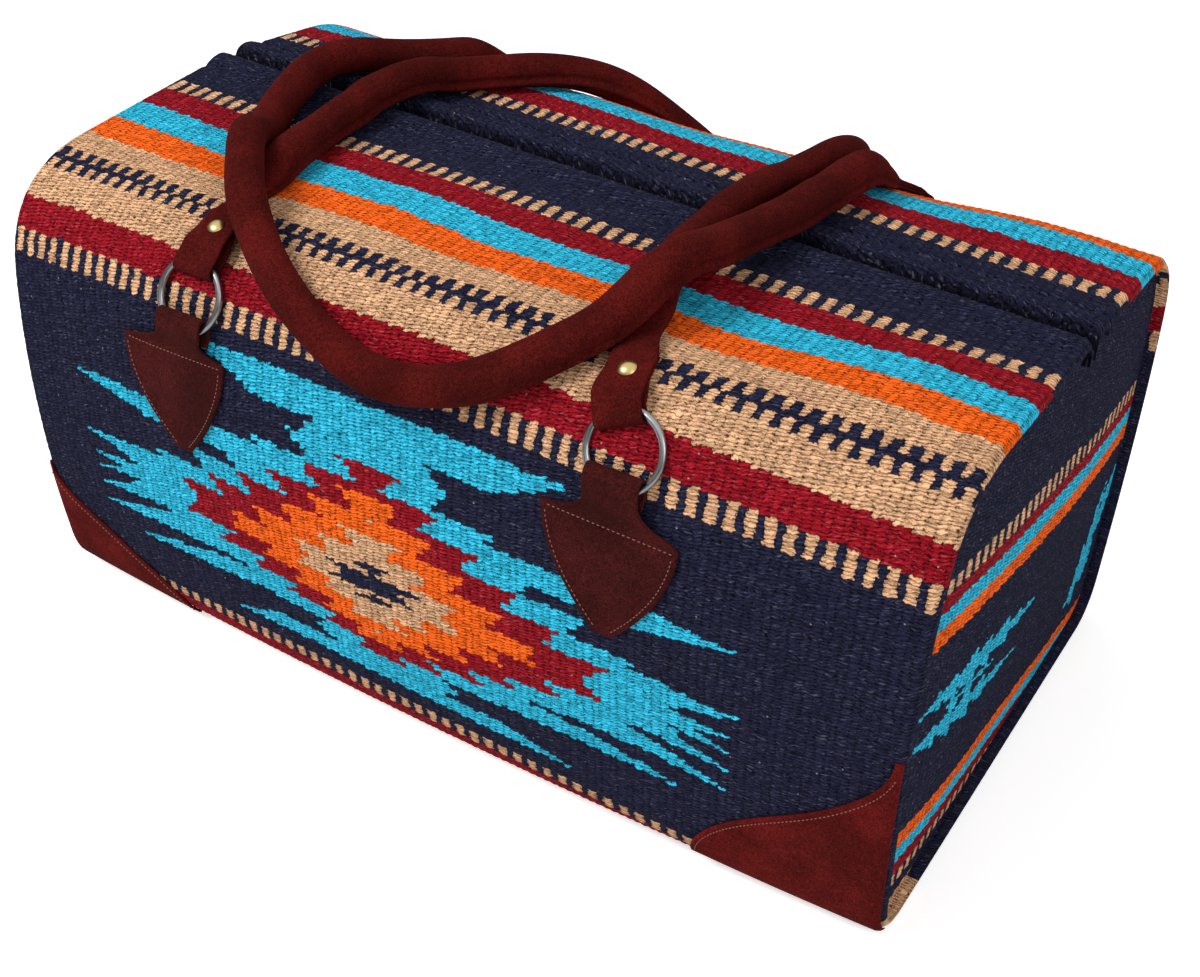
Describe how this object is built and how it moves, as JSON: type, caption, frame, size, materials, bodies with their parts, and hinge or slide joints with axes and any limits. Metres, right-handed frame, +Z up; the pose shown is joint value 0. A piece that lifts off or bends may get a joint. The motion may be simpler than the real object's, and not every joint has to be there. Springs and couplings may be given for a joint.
{
  "type": "woven duffel bag",
  "caption": "Boxy zip-top duffel of striped hand-woven cloth with suede corner patches and two rolled suede handles hung on steel rings.",
  "frame": {"origin": "under the middle of the whole bag, on the plane it stands on", "axes": "+X along the zip to the right, +Y from the front face to the back, +Z up"},
  "size_m": [0.6104, 0.397, 0.3488],
  "materials": {
    "woven_cloth": "coarse weft-faced weave in navy with tan, orange, crimson and turquoise bands",
    "suede": "napped dark red-brown suede",
    "ring_steel": "satin nickel",
    "brass": "polished antique brass",
    "zip_tape": "tightly woven tape",
    "zip_metal": "dull antique brass"
  },
  "bodies": {
    "bag": {"woven_wrap": "woven_cloth", "left_end_panel": "woven_cloth", "right_end_panel": "woven_cloth", "corner_patch_front_left": "suede", "corner_patch_front_right": "suede", "corner_patch_back_left": "suede", "corner_patch_back_right": "suede", "front_ring_tab_left": "suede", "front_ring_tab_right": "suede", "back_ring_tab_left": "suede", "back_ring_tab_right": "suede", "zip_tape_front": "zip_tape", "zip_tape_back": "zip_tape", "zip_teeth_front": "zip_metal", "zip_teeth_back": "zip_metal"},
    "front_handle_body": {"front_handle": "suede", "front_ring_left": "ring_steel", "front_ring_right": "ring_steel", "front_handle_rivet_left": "brass", "front_handle_rivet_right": "brass"},
    "back_handle_body": {"back_handle": "suede", "back_ring_left": "ring_steel", "back_ring_right": "ring_steel", "back_handle_rivet_left": "brass", "back_handle_rivet_right": "brass"},
    "slider": {"zip_slider": "zip_metal"},
    "pull": {"zip_pull": "zip_metal"}
  },
  "joints": [
    {"name": "back_handle_lift", "type": "hinge", "parent": "bag", "child": "back_handle_body", "pos_m": [0, 0.1838, 0.213], "axis": [-0.9999, -0.0152, 0], "range_deg": [0, 130]},
    {"name": "front_handle_lift", "type": "hinge", "parent": "bag", "child": "front_handle_body", "pos_m": [0, -0.18163, 0.25], "axis": [0.9998, 0.02, 0], "range_deg": [0, 32.5]},
    {"name": "zip_slide", "type": "slide", "parent": "bag", "child": "slider", "axis": [0.9992, 0, -0.0393], "range_m": [0, 0.51]},
    {"name": "pull_flip", "type": "hinge", "parent": "slider", "child": "pull", "pos_m": [-0.26171, 0.02595, 0.30429], "axis": [0, -1, 0], "range_deg": [0, 120]}
  ],
  "couplings": [
    {"joint": "front_handle_lift", "follows": "back_handle_lift", "ratio": 0.25}
  ]
}
